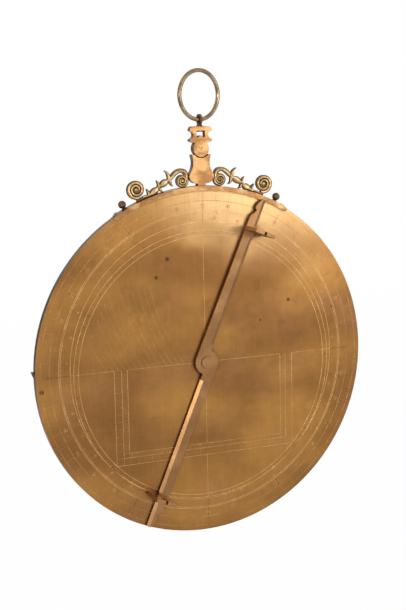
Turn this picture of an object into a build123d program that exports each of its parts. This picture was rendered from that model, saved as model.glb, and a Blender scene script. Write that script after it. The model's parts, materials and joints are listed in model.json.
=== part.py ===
from build123d import *
from math import cos, degrees, hypot, radians, sin, sqrt, tan
import os

os.makedirs("parts", exist_ok=True)

# Frame: the origin is the point of the ring that a hook carries, +Z is up,
# -Y faces the engraved back of the instrument, Y = 0 is the middle of the disc.
# Heights and radii named below are measured from the centre of the disc,
# and a rise is a height above the saddle's outer face.

# Clearances
SEAT = 0.02
RUNNING = 0.06
STACK_GAP = 0.1
LOOSE = 0.3

# Disc, built from the back plate and the limb
DISC_R = 160.0
LIMB_W = 21.6
PLATE_T = 2.0
LIMB_T = 4.4
DISC_T = PLATE_T + LIMB_T
BACK_Y = -DISC_T / 2
FRONT_Y = DISC_T / 2
FLOOR_Y = BACK_Y + PLATE_T
RECESS_R = DISC_R - LIMB_W
PIN_R = 4.0

# Rivets that join limb and plate
LIMB_RIVET_R = 1.2
LIMB_RIVET_CIRCLE = (DISC_R + RECESS_R) / 2
LIMB_RIVET_COUNT = 12

# Latitude plates
TYMPAN_T = 0.9
TYMPAN_COUNT = 3
TYMPAN_R = RECESS_R - LOOSE
LUG_W = 6.0
LUG_DEPTH = 2.8

# Rete: its circles follow from the tropic ring by stereographic projection
RETE_T = 1.3
RETE_R = RECESS_R - 3 * LOOSE
RETE_RING_W = 6.4
RETE_BACK_Y = FLOOR_Y + TYMPAN_COUNT * TYMPAN_T + LOOSE
RETE_FRONT_Y = RETE_BACK_Y + RETE_T
TROPIC_R = RETE_R - RETE_RING_W / 2
OBLIQUITY = 23.5
STEREO = tan(radians((90 - OBLIQUITY) / 2))
EQUATOR_R = TROPIC_R * STEREO
ECLIPTIC_W = 8.0
ECLIPTIC_R = TROPIC_R * (1 + STEREO ** 2) / 2
ECLIPTIC_INNER_R = ECLIPTIC_R - ECLIPTIC_W
ECLIPTIC_SHIFT = TROPIC_R * (1 - STEREO ** 2) / 2
RETE_BAR_W = 4.6
RETE_BOSS_R = 11.0
RETE_TURN = 24.0
BUTTON_R = 2.0
BUTTON_T = 0.8

# Star pointers of the rete
POINTER_W = 5.0
POINTER_ROOT = 1.0
POINTER_BOW = 2.2
POINTER_LEAN = 6.0
TROPIC_POINTERS = 9
TROPIC_POINTER_ARC = (196.0, 344.0)
TROPIC_REACH = 15.0
TROPIC_REACH_STEP = 7.0
ECLIPTIC_POINTERS = 7
ECLIPTIC_POINTER_ARC = (20.0, 160.0)
ECLIPTIC_REACH = 18.0
ECLIPTIC_REACH_STEP = 8.0
EQUATOR_REACH = 20.0
EQUATOR_ANGLES = (205, 232, 258, 289, 317, 338)

# Saddle over the rim
LIP_T = 0.8
LIP_REACH = 3.4
WEB_T = 0.8
LIP_IN_R = DISC_R - LIP_REACH
WEB_R = DISC_R + WEB_T
LIP_FRONT_Y = FRONT_Y + LIP_T
LIP_BACK_Y = BACK_Y - LIP_T
SADDLE_HALF_LENGTH = 87.0
BAND_RISE = 0.8
BAND_BITE = 1.0
BAND_W = 2.8
BAND_FROM_END = 4.8
END_LENGTH = 2.0
END_BITE = 1.4
END_INSET = 0.8
END_STEP = 0.7
SADDLE_RIVET_R = 0.9
SADDLE_RIVET_CIRCLE = (DISC_R + LIP_IN_R) / 2
RIVET_FROM_END = 19.6
SADDLE_RIVETS_ALONG = (22.5, SADDLE_HALF_LENGTH - RIVET_FROM_END)

# Bracket: half widths and rises of its vase outline
THRONE_T = 6.8
SHOULDER_RISE = 28.0
BRACKET_PROFILE = ((3.7, 2.1), (9.4, 4.0), (12.0, 8.4), (9.5, 13.8), (7.9, 20.6))
BRACKET_SINK = 2.8
SHOULDER_CHAMFER = (0.5, 1.2)
COVE_GAP = 1.0
COVE_LIP = 0.6
BRACKET_RIVET_RISE = 9.6
BRACKET_RIVET_R = 1.3
SHOULDER_Z = WEB_R + SHOULDER_RISE

# Hinge between bracket and shackle
CHEEK_R = 7.5
HINGE_PIN_R = 2.0
HINGE_ABOVE_SHOULDER = 5.2
HINGE_Z = SHOULDER_Z + HINGE_ABOVE_SHOULDER
TONGUE_T = 2.4
TONGUE_NECK_HALF_W = 6.0
DIMPLE_R = 0.9
DIMPLE_DEPTH = 0.4
TONGUE_GAP = 0.5

# Swivel: shank through the shackle's bar, with a button riveted on inside the window
SHANK_R = 2.0
COLLAR_R = 3.2
COLLAR_T = 1.5
COLLAR_TAPER = 40.0
SWIVEL_BUTTON_R = 2.9
SWIVEL_BUTTON_T = 0.9

# Shackle: H-shaped yoke above two round cheeks. Its outline is given as
# (inset from the widest point, distance below the top) and (inset, rise above the hinge)
YOKE_T = 5.8
WINDOW_SIDE_GAP = 1.1
WINDOW_HALF_W = SWIVEL_BUTTON_R + WINDOW_SIDE_GAP
WINDOW_ABOVE_HINGE = 10.0
WINDOW_H = 5.7
BAR_T = 3.9
BOLLARD_R = 2.3
BOLLARD_SINK = 0.8
HORN_OUT = 6.5
POST_W = 3.0
YOKE_HALF_W = WINDOW_HALF_W + HORN_OUT
YOKE_HORN = ((2.7, 0.0), (0.9, 1.0), (0.1, 3.0), (0.0, 3.8), (0.6, 4.3))
YOKE_FOOT = ((0.7, 8.7), (-0.1, 7.2), (1.3, 5.9), (5.5, 4.4))
YOKE_ROOT = 3.0
WINDOW_FOOT = HINGE_Z + WINDOW_ABOVE_HINGE
BAR_UNDERSIDE = WINDOW_FOOT + WINDOW_H
YOKE_TOP = BAR_UNDERSIDE + BAR_T

# Suspension ring and the eye that its wire runs through
RING_WIRE_R = 1.9
RING_MEAN_R = 21.6
RING_TURN = 15.7
EYE_WALL = 1.2
EYE_CROWN = 2.7
EYE_HOLE_R = RING_WIRE_R + LOOSE
EYE_HALF_W = EYE_HOLE_R + EYE_WALL
EYE_HALF_H = EYE_HOLE_R + EYE_CROWN
EYE_T = 2.2
EYE_ABOVE_YOKE = 1.0
RING_Z = -(RING_MEAN_R - RING_WIRE_R)
WIRE_Z = RING_Z - RING_MEAN_R
DISC_Z = WIRE_Z - EYE_HALF_H - EYE_ABOVE_YOKE - YOKE_TOP

# Scrolls: places are given as (distance along the saddle from its top, rise)
SCROLL_T = 3.2
SCROLL_RELIEF = 0.7
OUTER_VOLUTE = (59.3, 10.7)
OUTER_VOLUTE_R = 9.1
OUTER_SHRINK = 0.24
OUTER_TURN = 158.0
OUTER_GROOVE = (6.0, 1.9)
OUTER_GROOVE_TURNS = 1.6
INNER_VOLUTE = (17.5, 6.0)
INNER_VOLUTE_R = 6.2
INNER_SHRINK = 0.12
INNER_TURN = 75.0
INNER_GROOVE = (4.4, 1.5)
INNER_GROOVE_TURNS = 1.5
GROOVE_W = 0.7
TAIL = (42.7, 62.3)
TAIL_RISE = 2.4
TAIL_BITE = 1.0
CREST_OUTSIDE = ((28.1, 11.6), (23.8, 15.5), (17.4, 17.2), (13.0, 14.8), (11.7, 9.9), (12.0, 5.3))
CREST_INSIDE = ((14.5, 5.5), (14.7, 9.5), (15.7, 12.0), (18.1, 13.3), (22.0, 12.1), (26.0, 9.1))
STEM = ((51.2, 1.4), (50.3, -0.8), (25.8, 9.5), (27.0, 11.6))
LEAVES = ((44.5, 3.0), (34.1, 7.4))
LEAF_HALF_LENGTH = 5.4
LEAF_HALF_W = 3.0
VEIN_HALF_LENGTH = 3.0
VEIN_HALF_W = 1.4
LEAF_SLOPE = 36.0
THORNS = (
    ((49.9, 1.8), (50.6, 7.9), 2.8, 0.7),
    ((39.3, 5.5), (40.1, 11.9), 2.8, 0.7),
    ((28.8, 10.1), (31.5, 18.4), 3.4, 1.2),
    ((39.1, 4.5), (36.7, 0.0), 2.8, 0.5),
    ((28.4, 9.0), (26.3, 2.4), 3.0, 1.0),
)

# Turned knobs near the ends of the saddle
BALUSTER_FROM_END = 11.5
BALUSTER_ALONG = SADDLE_HALF_LENGTH - BALUSTER_FROM_END
KNOB_R = 3.5
KNOB_RISE = 4.6
NECK_R = 1.5
KNOB_FOOT_R = 2.3
KNOB_FOOT_T = 0.7

# Alidade on the back; an arm's ogee end is given as (distance back from the tip, width)
ALIDADE_ANGLE = 23.1
ALIDADE_T = 3.0
WASHER_T = 1.0
ALIDADE_FRONT_Y = BACK_Y - WASHER_T - STACK_GAP
ALIDADE_BACK_Y = ALIDADE_FRONT_Y - ALIDADE_T
ALIDADE_BOSS_R = 11.2
WASHER_INSET = 0.8
WASHER_R = ALIDADE_BOSS_R - WASHER_INSET
PIVOT_SHIFT = 1.3
ARM_INSIDE_RIM = 1.7
ARM_TIP = DISC_R - ARM_INSIDE_RIM
ARM_ROOT_W = 11.2
ARM_TIP_W = 3.6
ARM_OGEE = ((4.2, 6.6), (9.4, 7.6), (10.8, 6.0), (13.4, 6.8), (16.4, 9.1), (19.0, 9.9))
ARM_BEVEL_W = 3.0
ARM_BEVEL_T = 1.7
BEVEL_FROM_BOSS = 5.8
BEVEL_START = ALIDADE_BOSS_R + BEVEL_FROM_BOSS
BEVEL_TO_VANE = 2.0

# Sight vanes on the alidade
VANE_FROM_TIP = 31.1
VANE_T = 3.4
VANE_H = 22.7
VANE_HALF_W = 10.0
VANE_SKIRT_GAP = 1.4
SLIT_HALF_W = 1.1
SLIT_RISE = 6.7
VANE_RIVET_R = 0.9
VANE_RIVET_BITE = 2.4
RIVET_FROM_SLIT = 3.1
RIVET_FROM_EDGE = 2.6
VANE_RIVET_W = (SLIT_HALF_W + RIVET_FROM_SLIT, VANE_HALF_W - RIVET_FROM_EDGE)

# Rule on the front
RULE_ANGLE = 1.9
RULE_T = 2.0
RULE_OVERHANG = 2.2
RULE_R = DISC_R + RULE_OVERHANG
RULE_ABOVE_LIP = 0.4
RULE_BACK_Y = LIP_FRONT_Y + RULE_ABOVE_LIP
RULE_FRONT_Y = RULE_BACK_Y + RULE_T
RULE_BOSS_R = 10.0
RULE_ROOT_W = 9.0
RULE_TIP_W = 6.0
RULE_TIP_SLANT = 3.0
RULE_BEVEL_FROM_BOSS = 4.0
RULE_BEVEL_START = RULE_BOSS_R + RULE_BEVEL_FROM_BOSS
RULE_BEVEL_W = 2.4
RULE_BEVEL_T = 1.2

# Centre pin, with a slot for the wedge
PIN_HEAD_R = 5.5
PIN_HEAD_T = 1.0
PIN_HEAD_Y = ALIDADE_BACK_Y - STACK_GAP
SLOT_GAP = 0.15
SLOT_Y = RULE_FRONT_Y + SLOT_GAP
SLOT_DEPTH = 3.7
SLOT_HALF_W = 1.35
PIN_CAP_T = 2.15
PIN_END_Y = SLOT_Y + SLOT_DEPTH + PIN_CAP_T

# Wedge: blade, then the horse head as (height above the neck, depth in front of the neck)
WEDGE_HALF_W = SLOT_HALF_W - SLOT_GAP
WEDGE_LOW = -15.0
WEDGE_NECK = 9.0
WEDGE_TAPER = 2.0
WEDGE_STOP = 0.2
WEDGE_THICK = SLOT_DEPTH + WEDGE_STOP
WEDGE_THIN = WEDGE_THICK - WEDGE_TAPER
HORSE_HEAD = ((4.0, 2.8), (5.5, 7.6), (7.4, 6.2), (11.5, 4.5), (13.0, 1.3))


def face_at(y):
    """Plane parallel to the disc at depth y, centred on the disc, extruding towards the back."""
    return Plane(origin=(0, y, DISC_Z), x_dir=(1, 0, 0), z_dir=(0, -1, 0))


def turned_face(y, dx, dz):
    """The same plane with its first axis along (dx, dz)."""
    return Plane(origin=(0, y, DISC_Z), x_dir=(dx, 0, dz), z_dir=(0, -1, 0))


def level(z):
    """Horizontal plane at a height above the centre of the disc."""
    return Plane.XY.offset(DISC_Z + z)


def polar(r, degrees_ccw):
    """Point at a radius and an angle counted from the right."""
    return (r * cos(radians(degrees_ccw)), r * sin(radians(degrees_ccw)))


def spread(arc, k, count):
    """The k-th of so many angles, evenly spaced from one end of an arc to the other."""
    start, end = arc
    return start + (end - start) * k / (count - 1)


def rim_angle(along):
    """Angle, counted from the right, of a place along the saddle's outer face."""
    return 90 - degrees(along / WEB_R)


def on_rim(along, rise):
    """Point at a distance along the saddle from its top, and a rise above its outer face."""
    return polar(WEB_R + rise, rim_angle(along))


def ring_sector(r_in, r_out, start, end):
    """Closed outline of a piece of a flat ring between two angles."""
    low = min(start, end)
    high = max(start, end)
    with BuildLine() as outline:
        CenterArc((0, 0), r_out, low, high - low)
        CenterArc((0, 0), r_in, low, high - low)
        Line(polar(r_in, low), polar(r_out, low))
        Line(polar(r_in, high), polar(r_out, high))
    make_face(outline.edges())


def thorn(base, tip, width, bow):
    """Curved pointed leaf: two arcs from a base of given width to one tip."""
    bx, bz = base
    tx, tz = tip
    length = hypot(tx - bx, tz - bz)
    ux, uz = (tx - bx) / length, (tz - bz) / length
    nx, nz = -uz, ux
    half = width / 2
    left = (bx + nx * half, bz + nz * half)
    right = (bx - nx * half, bz - nz * half)
    mx, mz = (bx + tx) / 2 + nx * bow, (bz + tz) / 2 + nz * bow
    over = 0.36 * width
    under = 0.3 * width
    with BuildLine() as outline:
        ThreePointArc(left, (mx + nx * over, mz + nz * over), tip)
        ThreePointArc(right, (mx - nx * under, mz - nz * under), tip)
        Line(left, right)
    make_face(outline.edges())


def lens(centre, half_length, half_width, slope):
    """Almond outline around a centre, its long axis at the slope given in degrees."""
    cx, cz = centre
    ux, uz = cos(radians(slope)), sin(radians(slope))
    a = (cx - ux * half_length, cz - uz * half_length)
    b = (cx + ux * half_length, cz + uz * half_length)
    with BuildLine() as outline:
        ThreePointArc(a, (cx - uz * half_width, cz + ux * half_width), b)
        ThreePointArc(b, (cx + uz * half_width, cz - ux * half_width), a)
    make_face(outline.edges())


def snail(centre, r_start, shrink, start, side):
    """Volute outline whose radius shrinks over one turn, closed by a short step."""
    cx, cz = centre
    steps = 12
    points = []
    for k in range(steps + 1):
        r = r_start * (1 - shrink * k / steps)
        x, z = polar(r, start + side * 360 * k / steps)
        points.append((cx + x, cz + z))
    with BuildLine() as outline:
        Spline(*points)
        Line(points[-1], points[0])
    make_face(outline.edges())


def spiral_groove(centre, r_start, r_end, turns, width, start, side):
    """Narrow spiral band that is cut as a groove into a volute."""
    cx, cz = centre
    steps = int(turns * 12)
    outer = []
    inner = []
    for k in range(steps + 1):
        r = r_start + (r_end - r_start) * k / steps
        angle = start + side * 360 * turns * k / steps
        x, z = polar(r + width / 2, angle)
        outer.append((cx + x, cz + z))
        x, z = polar(r - width / 2, angle)
        inner.append((cx + x, cz + z))
    with BuildLine() as outline:
        Spline(*outer)
        Spline(*inner)
        Line(outer[0], inner[0])
        Line(outer[-1], inner[-1])
    make_face(outline.edges())


# Back plate
with BuildPart() as mater_plate:
    with BuildSketch(face_at(FLOOR_Y)):
        Circle(DISC_R)
        Circle(PIN_R + SEAT, mode=Mode.SUBTRACT)
        with PolarLocations(LIMB_RIVET_CIRCLE, LIMB_RIVET_COUNT):
            Circle(LIMB_RIVET_R + SEAT, mode=Mode.SUBTRACT)
    extrude(amount=PLATE_T)
mater_plate.part.label = "mater_plate"
export_step(mater_plate.part, "parts/mater_plate.step")

# Limb, with a notch at the bottom for the lugs of the latitude plates
with BuildPart() as limb:
    with BuildSketch(face_at(FRONT_Y)):
        Circle(DISC_R)
        Circle(RECESS_R, mode=Mode.SUBTRACT)
        with Locations((0, -RECESS_R)):
            Rectangle(LUG_W + LOOSE, 2 * (LUG_DEPTH + LOOSE), mode=Mode.SUBTRACT)
        with PolarLocations(LIMB_RIVET_CIRCLE, LIMB_RIVET_COUNT):
            Circle(LIMB_RIVET_R + SEAT, mode=Mode.SUBTRACT)
    extrude(amount=LIMB_T)
limb.part.label = "limb"
export_step(limb.part, "parts/limb.step")

# Flush rivets through limb and plate
with BuildPart() as limb_rivets:
    with BuildSketch(face_at(FRONT_Y)):
        with PolarLocations(LIMB_RIVET_CIRCLE, LIMB_RIVET_COUNT):
            Circle(LIMB_RIVET_R)
    extrude(amount=DISC_T)
limb_rivets.part.label = "limb_rivets"
export_step(limb_rivets.part, "parts/limb_rivets.step")

# Latitude plates stacked in the recess
for number in range(1, TYMPAN_COUNT + 1):
    with BuildPart() as tympan:
        with BuildSketch(face_at(FLOOR_Y + number * TYMPAN_T)):
            Circle(TYMPAN_R)
            with Locations((0, -TYMPAN_R)):
                Rectangle(LUG_W, 2 * LUG_DEPTH)
            Circle(PIN_R + RUNNING, mode=Mode.SUBTRACT)
        extrude(amount=TYMPAN_T - SEAT)
    tympan.part.label = f"tympan_{number}"
    export_step(tympan.part, f"parts/tympan_{number}.step")

# Rete: tropic ring, ecliptic ring, bars, equator arc and star pointers
rete_dx, rete_dz = polar(1, RETE_TURN)
with BuildPart() as rete:
    with BuildSketch(turned_face(RETE_FRONT_Y, rete_dx, rete_dz)):
        Circle(RETE_R)
        Circle(RETE_R - RETE_RING_W, mode=Mode.SUBTRACT)
        with Locations((0, ECLIPTIC_SHIFT)):
            Circle(ECLIPTIC_R)
            Circle(ECLIPTIC_INNER_R, mode=Mode.SUBTRACT)
        ring_sector(EQUATOR_R - RETE_BAR_W / 2, EQUATOR_R + RETE_BAR_W / 2, 180, 360)
        Rectangle(2 * TROPIC_R, RETE_BAR_W)
        Rectangle(RETE_BAR_W, 2 * TROPIC_R)
        Circle(RETE_BOSS_R)
        for k in range(TROPIC_POINTERS):
            way = 1 if k % 2 else -1
            angle = spread(TROPIC_POINTER_ARC, k, TROPIC_POINTERS)
            reach = TROPIC_REACH + TROPIC_REACH_STEP * (k % 3)
            root = polar(RETE_R - RETE_RING_W + POINTER_ROOT, angle)
            star = polar(RETE_R - RETE_RING_W - reach, angle + way * POINTER_LEAN)
            thorn(root, star, POINTER_W, way * POINTER_BOW)
        for k in range(ECLIPTIC_POINTERS):
            way = 1 if k % 2 else -1
            angle = spread(ECLIPTIC_POINTER_ARC, k, ECLIPTIC_POINTERS)
            reach = ECLIPTIC_REACH + ECLIPTIC_REACH_STEP * (k % 3)
            x0, z0 = polar(ECLIPTIC_INNER_R + POINTER_ROOT, angle)
            x1, z1 = polar(ECLIPTIC_INNER_R - reach, angle + way * POINTER_LEAN)
            root = (x0, z0 + ECLIPTIC_SHIFT)
            thorn(root, (x1, z1 + ECLIPTIC_SHIFT), POINTER_W, way * POINTER_BOW)
        for angle in EQUATOR_ANGLES:
            root = polar(EQUATOR_R - RETE_BAR_W / 2 + POINTER_ROOT, angle)
            star = polar(EQUATOR_R - EQUATOR_REACH, angle + POINTER_LEAN)
            thorn(root, star, POINTER_W, POINTER_BOW)
        Circle(PIN_R + RUNNING, mode=Mode.SUBTRACT)
    extrude(amount=RETE_T)
rete.part.label = "rete"
export_step(rete.part, "parts/rete.step")

# Small button for turning the rete, riveted on its tropic ring
with BuildPart() as rete_button:
    with BuildSketch(turned_face(RETE_FRONT_Y + BUTTON_T, rete_dx, rete_dz)):
        with Locations((TROPIC_R, 0)):
            Circle(BUTTON_R)
    extrude(amount=BUTTON_T)
rete_button.part.label = "rete_button"
export_step(rete_button.part, "parts/rete_button.step")

# Washers in front of and behind the disc
with BuildPart() as front_washer:
    with BuildSketch(face_at(RULE_BACK_Y - STACK_GAP)):
        Circle(RULE_BOSS_R)
        Circle(PIN_R + RUNNING, mode=Mode.SUBTRACT)
    extrude(amount=RULE_BACK_Y - RETE_FRONT_Y - 2 * STACK_GAP)
front_washer.part.label = "front_washer"
export_step(front_washer.part, "parts/front_washer.step")

with BuildPart() as back_washer:
    with BuildSketch(face_at(BACK_Y)):
        Circle(WASHER_R)
        Circle(PIN_R + RUNNING, mode=Mode.SUBTRACT)
    extrude(amount=WASHER_T)
back_washer.part.label = "back_washer"
export_step(back_washer.part, "parts/back_washer.step")

# Front rule: two counter-changed blades with bevelled reading edges
rule_dx, rule_dz = polar(1, 180 - RULE_ANGLE)
with BuildPart() as rule:
    with BuildSketch(turned_face(RULE_FRONT_Y, rule_dx, rule_dz)):
        Circle(RULE_BOSS_R)
        for side in (1, -1):
            with BuildLine():
                Polyline(
                    (0, 0),
                    (side * RULE_R, 0),
                    (side * (RULE_R - RULE_TIP_SLANT), side * RULE_TIP_W),
                    (0, side * RULE_ROOT_W),
                    (0, 0),
                )
            make_face()
        Circle(PIN_R + RUNNING, mode=Mode.SUBTRACT)
    extrude(amount=RULE_T)
    for side in (1, -1):
        out_x = side * rule_dx
        out_z = side * rule_dz
        blade = Plane(
            origin=(out_x * RULE_BEVEL_START, RULE_FRONT_Y, DISC_Z + out_z * RULE_BEVEL_START),
            x_dir=(0, 1, 0),
            z_dir=(out_x, 0, out_z),
        )
        with BuildSketch(blade):
            with BuildLine():
                Polyline(
                    (-RULE_BEVEL_T, 0),
                    (RULE_BEVEL_T, 0),
                    (RULE_BEVEL_T, 2 * RULE_BEVEL_W),
                    (-RULE_BEVEL_T, 0),
                )
            make_face()
        extrude(amount=RULE_R, mode=Mode.SUBTRACT)
rule.part.label = "rule"
export_step(rule.part, "parts/rule.step")

# Alidade: boss and two counter-changed arms whose outer ends have an ogee
arm_dx, arm_dz = polar(1, 90 - ALIDADE_ANGLE)
with BuildPart() as alidade:
    with BuildSketch(turned_face(ALIDADE_FRONT_Y, arm_dx, arm_dz)):
        Circle(ALIDADE_BOSS_R)
        for side in (1, -1):
            tip = ARM_TIP - side * PIVOT_SHIFT
            swell, heel, nick, cove, shoulder, end = [
                (side * (tip - back), side * width) for back, width in ARM_OGEE
            ]
            corner = (side * tip, side * ARM_TIP_W)
            with BuildLine():
                Polyline(end, (0, side * ARM_ROOT_W), (0, 0), (side * tip, 0), corner)
                ThreePointArc(corner, swell, heel)
                Line(heel, nick)
                Spline(nick, cove, shoulder, end)
            make_face()
        Circle(PIN_R + RUNNING, mode=Mode.SUBTRACT)
    extrude(amount=ALIDADE_T)
    for side in (1, -1):
        out_x = side * arm_dx
        out_z = side * arm_dz
        vane_u = ARM_TIP - VANE_FROM_TIP - side * PIVOT_SHIFT
        stretches = ((BEVEL_START, vane_u - BEVEL_TO_VANE), (vane_u + VANE_T + BEVEL_TO_VANE, DISC_R))
        for start, end in stretches:
            blade = Plane(
                origin=(out_x * start, ALIDADE_BACK_Y, DISC_Z + out_z * start),
                x_dir=(-out_z, 0, out_x),
                z_dir=(out_x, 0, out_z),
            )
            with BuildSketch(blade):
                with BuildLine():
                    Polyline(
                        (0, -ARM_BEVEL_T),
                        (ARM_BEVEL_W, 0),
                        (ARM_BEVEL_W, ARM_BEVEL_T),
                        (-ARM_BEVEL_T, ARM_BEVEL_T),
                        (-ARM_BEVEL_T, -ARM_BEVEL_T),
                        (0, -ARM_BEVEL_T),
                    )
                make_face()
            extrude(amount=end - start, mode=Mode.SUBTRACT)
        with BuildSketch(turned_face(ALIDADE_FRONT_Y, out_x, out_z)):
            with Locations(*[(vane_u + VANE_T / 2, w) for w in VANE_RIVET_W]):
                Circle(VANE_RIVET_R + SEAT)
        extrude(amount=ALIDADE_T, mode=Mode.SUBTRACT)
alidade.part.label = "alidade"
export_step(alidade.part, "parts/alidade.step")

# Sight vanes: plates across the arms, slotted from the top on the sighting line
vane_base = -ALIDADE_BACK_Y
vane_top = vane_base + VANE_H
slit_foot = vane_base + SLIT_RISE
vane_skirt = VANE_SKIRT_GAP - BACK_Y
for side, name in ((1, "upper"), (-1, "lower")):
    out_x = side * arm_dx
    out_z = side * arm_dz
    vane_u = ARM_TIP - VANE_FROM_TIP - side * PIVOT_SHIFT
    rivet_spots = [(vane_u + VANE_T / 2, w) for w in VANE_RIVET_W]
    across = Plane(
        origin=(out_x * vane_u, 0, DISC_Z + out_z * vane_u),
        x_dir=(-out_z, 0, out_x),
        z_dir=(out_x, 0, out_z),
    )
    rivet_plane = turned_face(ALIDADE_FRONT_Y, out_x, out_z)
    with BuildPart() as vane:
        with BuildSketch(across):
            with BuildLine():
                Polyline(
                    (-VANE_HALF_W, vane_skirt),
                    (-SEAT, vane_skirt),
                    (-SEAT, vane_base),
                    (VANE_HALF_W, vane_base),
                    (VANE_HALF_W, vane_top),
                    (SLIT_HALF_W, vane_top),
                    (SLIT_HALF_W, slit_foot),
                    (-SLIT_HALF_W, slit_foot),
                    (-SLIT_HALF_W, vane_top),
                    (-VANE_HALF_W, vane_top),
                    (-VANE_HALF_W, vane_skirt),
                )
            make_face()
        extrude(amount=VANE_T)
        with BuildSketch(rivet_plane):
            with Locations(*rivet_spots):
                Circle(VANE_RIVET_R + SEAT)
        extrude(amount=ALIDADE_T + VANE_RIVET_BITE + SEAT, mode=Mode.SUBTRACT)
    vane.part.label = f"vane_{name}"
    export_step(vane.part, f"parts/vane_{name}.step")
    with BuildPart() as vane_rivets:
        with BuildSketch(rivet_plane):
            with Locations(*rivet_spots):
                Circle(VANE_RIVET_R)
        extrude(amount=ALIDADE_T + VANE_RIVET_BITE)
    vane_rivets.part.label = f"vane_rivets_{name}"
    export_step(vane_rivets.part, f"parts/vane_rivets_{name}.step")

# Centre pin, headed at the back and slotted for the wedge at the front
with BuildPart() as centre_pin:
    with BuildSketch(face_at(PIN_END_Y)):
        Circle(PIN_R)
    extrude(amount=PIN_END_Y - PIN_HEAD_Y)
    with BuildSketch(face_at(PIN_HEAD_Y)):
        Circle(PIN_HEAD_R)
    extrude(amount=PIN_HEAD_T)
    with BuildSketch(face_at(SLOT_Y + SLOT_DEPTH)):
        Rectangle(2 * SLOT_HALF_W, 3 * PIN_R)
    extrude(amount=SLOT_DEPTH, mode=Mode.SUBTRACT)
centre_pin.part.label = "centre_pin"
export_step(centre_pin.part, "parts/centre_pin.step")

# Wedge in the slot: a tapered blade that ends in a small horse head
crest, ear, brow, nose, mouth = [(WEDGE_NECK + up, -WEDGE_THICK - out) for up, out in HORSE_HEAD]
neck = (WEDGE_NECK, -WEDGE_THICK)
wedge_side = Plane(origin=(-WEDGE_HALF_W, SLOT_Y + STACK_GAP, DISC_Z), x_dir=(0, 0, 1), z_dir=(1, 0, 0))
with BuildPart() as horse:
    with BuildSketch(wedge_side):
        with BuildLine():
            Polyline(mouth, (mouth[0], 0), (WEDGE_LOW, 0), (WEDGE_LOW, -WEDGE_THIN), neck)
            Spline(neck, crest, ear)
            Line(ear, brow)
            ThreePointArc(brow, nose, mouth)
        make_face()
    extrude(amount=2 * WEDGE_HALF_W)
horse.part.label = "horse"
export_step(horse.part, "parts/horse.step")

# Saddle: web over the rim, two thin lips, a raised band and a stepped end on each side
saddle_angles = [rim_angle(side * along) for along in SADDLE_RIVETS_ALONG for side in (1, -1)]
with BuildPart() as saddle:
    with BuildSketch(face_at(LIP_FRONT_Y)):
        ring_sector(LIP_IN_R, WEB_R, rim_angle(SADDLE_HALF_LENGTH), rim_angle(-SADDLE_HALF_LENGTH))
        for side in (1, -1):
            band_from = rim_angle(side * (SADDLE_HALF_LENGTH - BAND_FROM_END))
            band_to = rim_angle(side * (SADDLE_HALF_LENGTH - BAND_FROM_END + BAND_W))
            ring_sector(WEB_R - BAND_BITE, WEB_R + BAND_RISE, band_from, band_to)
            end_from = rim_angle(side * (SADDLE_HALF_LENGTH - END_BITE))
            end_to = rim_angle(side * (SADDLE_HALF_LENGTH + END_LENGTH))
            ring_sector(LIP_IN_R + END_INSET, WEB_R - END_STEP, end_from, end_to)
    extrude(amount=LIP_FRONT_Y - LIP_BACK_Y)
    with BuildSketch(face_at(FRONT_Y + SEAT)):
        Circle(DISC_R + SEAT)
    extrude(amount=DISC_T + 2 * SEAT, mode=Mode.SUBTRACT)
    with BuildSketch(face_at(LIP_FRONT_Y)):
        with Locations(*[polar(SADDLE_RIVET_CIRCLE, angle) for angle in saddle_angles]):
            Circle(SADDLE_RIVET_R)
    extrude(amount=LIP_FRONT_Y - LIP_BACK_Y, mode=Mode.SUBTRACT)
saddle.part.label = "saddle"
export_step(saddle.part, "parts/saddle.step")

# Flush rivets of the saddle
with BuildPart() as saddle_rivets:
    for depth in (LIP_FRONT_Y, BACK_Y):
        with BuildSketch(face_at(depth)):
            with Locations(*[polar(SADDLE_RIVET_CIRCLE, angle) for angle in saddle_angles]):
                Circle(SADDLE_RIVET_R - SEAT)
        extrude(amount=LIP_T)
saddle_rivets.part.label = "saddle_rivets"
export_step(saddle_rivets.part, "parts/saddle_rivets.step")

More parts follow.
